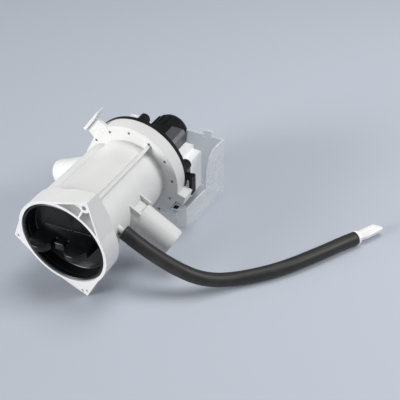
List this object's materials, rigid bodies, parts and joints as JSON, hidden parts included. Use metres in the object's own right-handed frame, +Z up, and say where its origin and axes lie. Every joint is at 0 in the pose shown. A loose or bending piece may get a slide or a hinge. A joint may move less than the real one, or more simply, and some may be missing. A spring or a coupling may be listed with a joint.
{
  "type": "washer drain pump",
  "caption": "drain pump with a screw-in lint filter in a white housing, a canned motor under a clear splash cover, two hose spigots and a plugged emergency drain hose",
  "frame": {"origin": "centre of the filter mouth, in the plane of the front rim", "axes": "+Y runs along the pump axis from the filter to the motor, +Z is up as the pump lies on a table, +X is to the right seen from the filter"},
  "size_m": [0.2802, 0.195, 0.1042],
  "materials": {
    "casing_white": "moulded satin",
    "cap_black": "moulded gloss",
    "cage_black": "moulded satin",
    "seal_rubber": "smooth rubber",
    "impeller_grey": "moulded satin",
    "bright_steel": "zinc plated",
    "dog_cream": "moulded satin",
    "ferrite": "ground ferrite",
    "washer_white": "moulded",
    "sintered_bronze": "sintered",
    "gasket_rubber": "smooth rubber",
    "motor_black": "moulded satin",
    "core_steel": "stacked laminations",
    "coil_white": "moulded satin",
    "copper_wire": "enamelled",
    "tinned_brass": "tinned",
    "clear_cover": "clear moulded",
    "hose_rubber": "smooth rubber",
    "plug_white": "moulded satin"
  },
  "bodies": {
    "pump": {"pump_casing": "casing_white", "front_bush": "sintered_bronze", "front_bush_mount": "seal_rubber", "rear_bush": "sintered_bronze", "rear_bush_mount": "seal_rubber", "shaft_seal": "seal_rubber", "chamber_gasket": "gasket_rubber", "motor_plate": "motor_black", "motor_screws": "bright_steel", "stator_core": "core_steel", "left_coil_case": "coil_white", "right_coil_case": "coil_white", "left_winding": "copper_wire", "right_winding": "copper_wire", "terminal_block": "coil_white", "spade_terminals": "tinned_brass", "splash_cover": "clear_cover", "drain_hose": "hose_rubber"},
    "seal_ring": {"filter_seal": "seal_rubber"},
    "filter": {"filter_cap": "cap_black", "filter_cage": "cage_black"},
    "rotor": {"rotor_shaft": "bright_steel", "rotor_magnet": "ferrite", "thrust_washers": "washer_white", "drive_dog": "dog_cream", "impeller_clip": "bright_steel"},
    "impeller": {"impeller": "impeller_grey"},
    "hose_plug": {"hose_plug": "plug_white"}
  },
  "joints": [
    {"name": "filter_slide", "type": "slide", "parent": "pump", "child": "seal_ring", "axis": [0, -1, 0], "range_m": [0, 0.012]},
    {"name": "filter_turn", "type": "hinge", "parent": "seal_ring", "child": "filter", "pos_m": [0, 0.01, 0], "axis": [0, -1, 0], "range_deg": [0, 270]},
    {"name": "rotor_spin", "type": "hinge", "parent": "pump", "child": "rotor", "pos_m": [0, 0.147, 0], "axis": [0, 1, 0], "continuous": true},
    {"name": "impeller_slip", "type": "hinge", "parent": "rotor", "child": "impeller", "pos_m": [0, 0.107, 0], "axis": [0, 1, 0], "range_deg": [-115, 115]},
    {"name": "plug_pull", "type": "slide", "parent": "pump", "child": "hose_plug", "axis": [0.5736, 0.8191, 0], "range_m": [0, 0.014]}
  ],
  "couplings": [
    {"joint": "filter_slide", "follows": "filter_turn", "m_per_rad": 0.0025465}
  ]
}
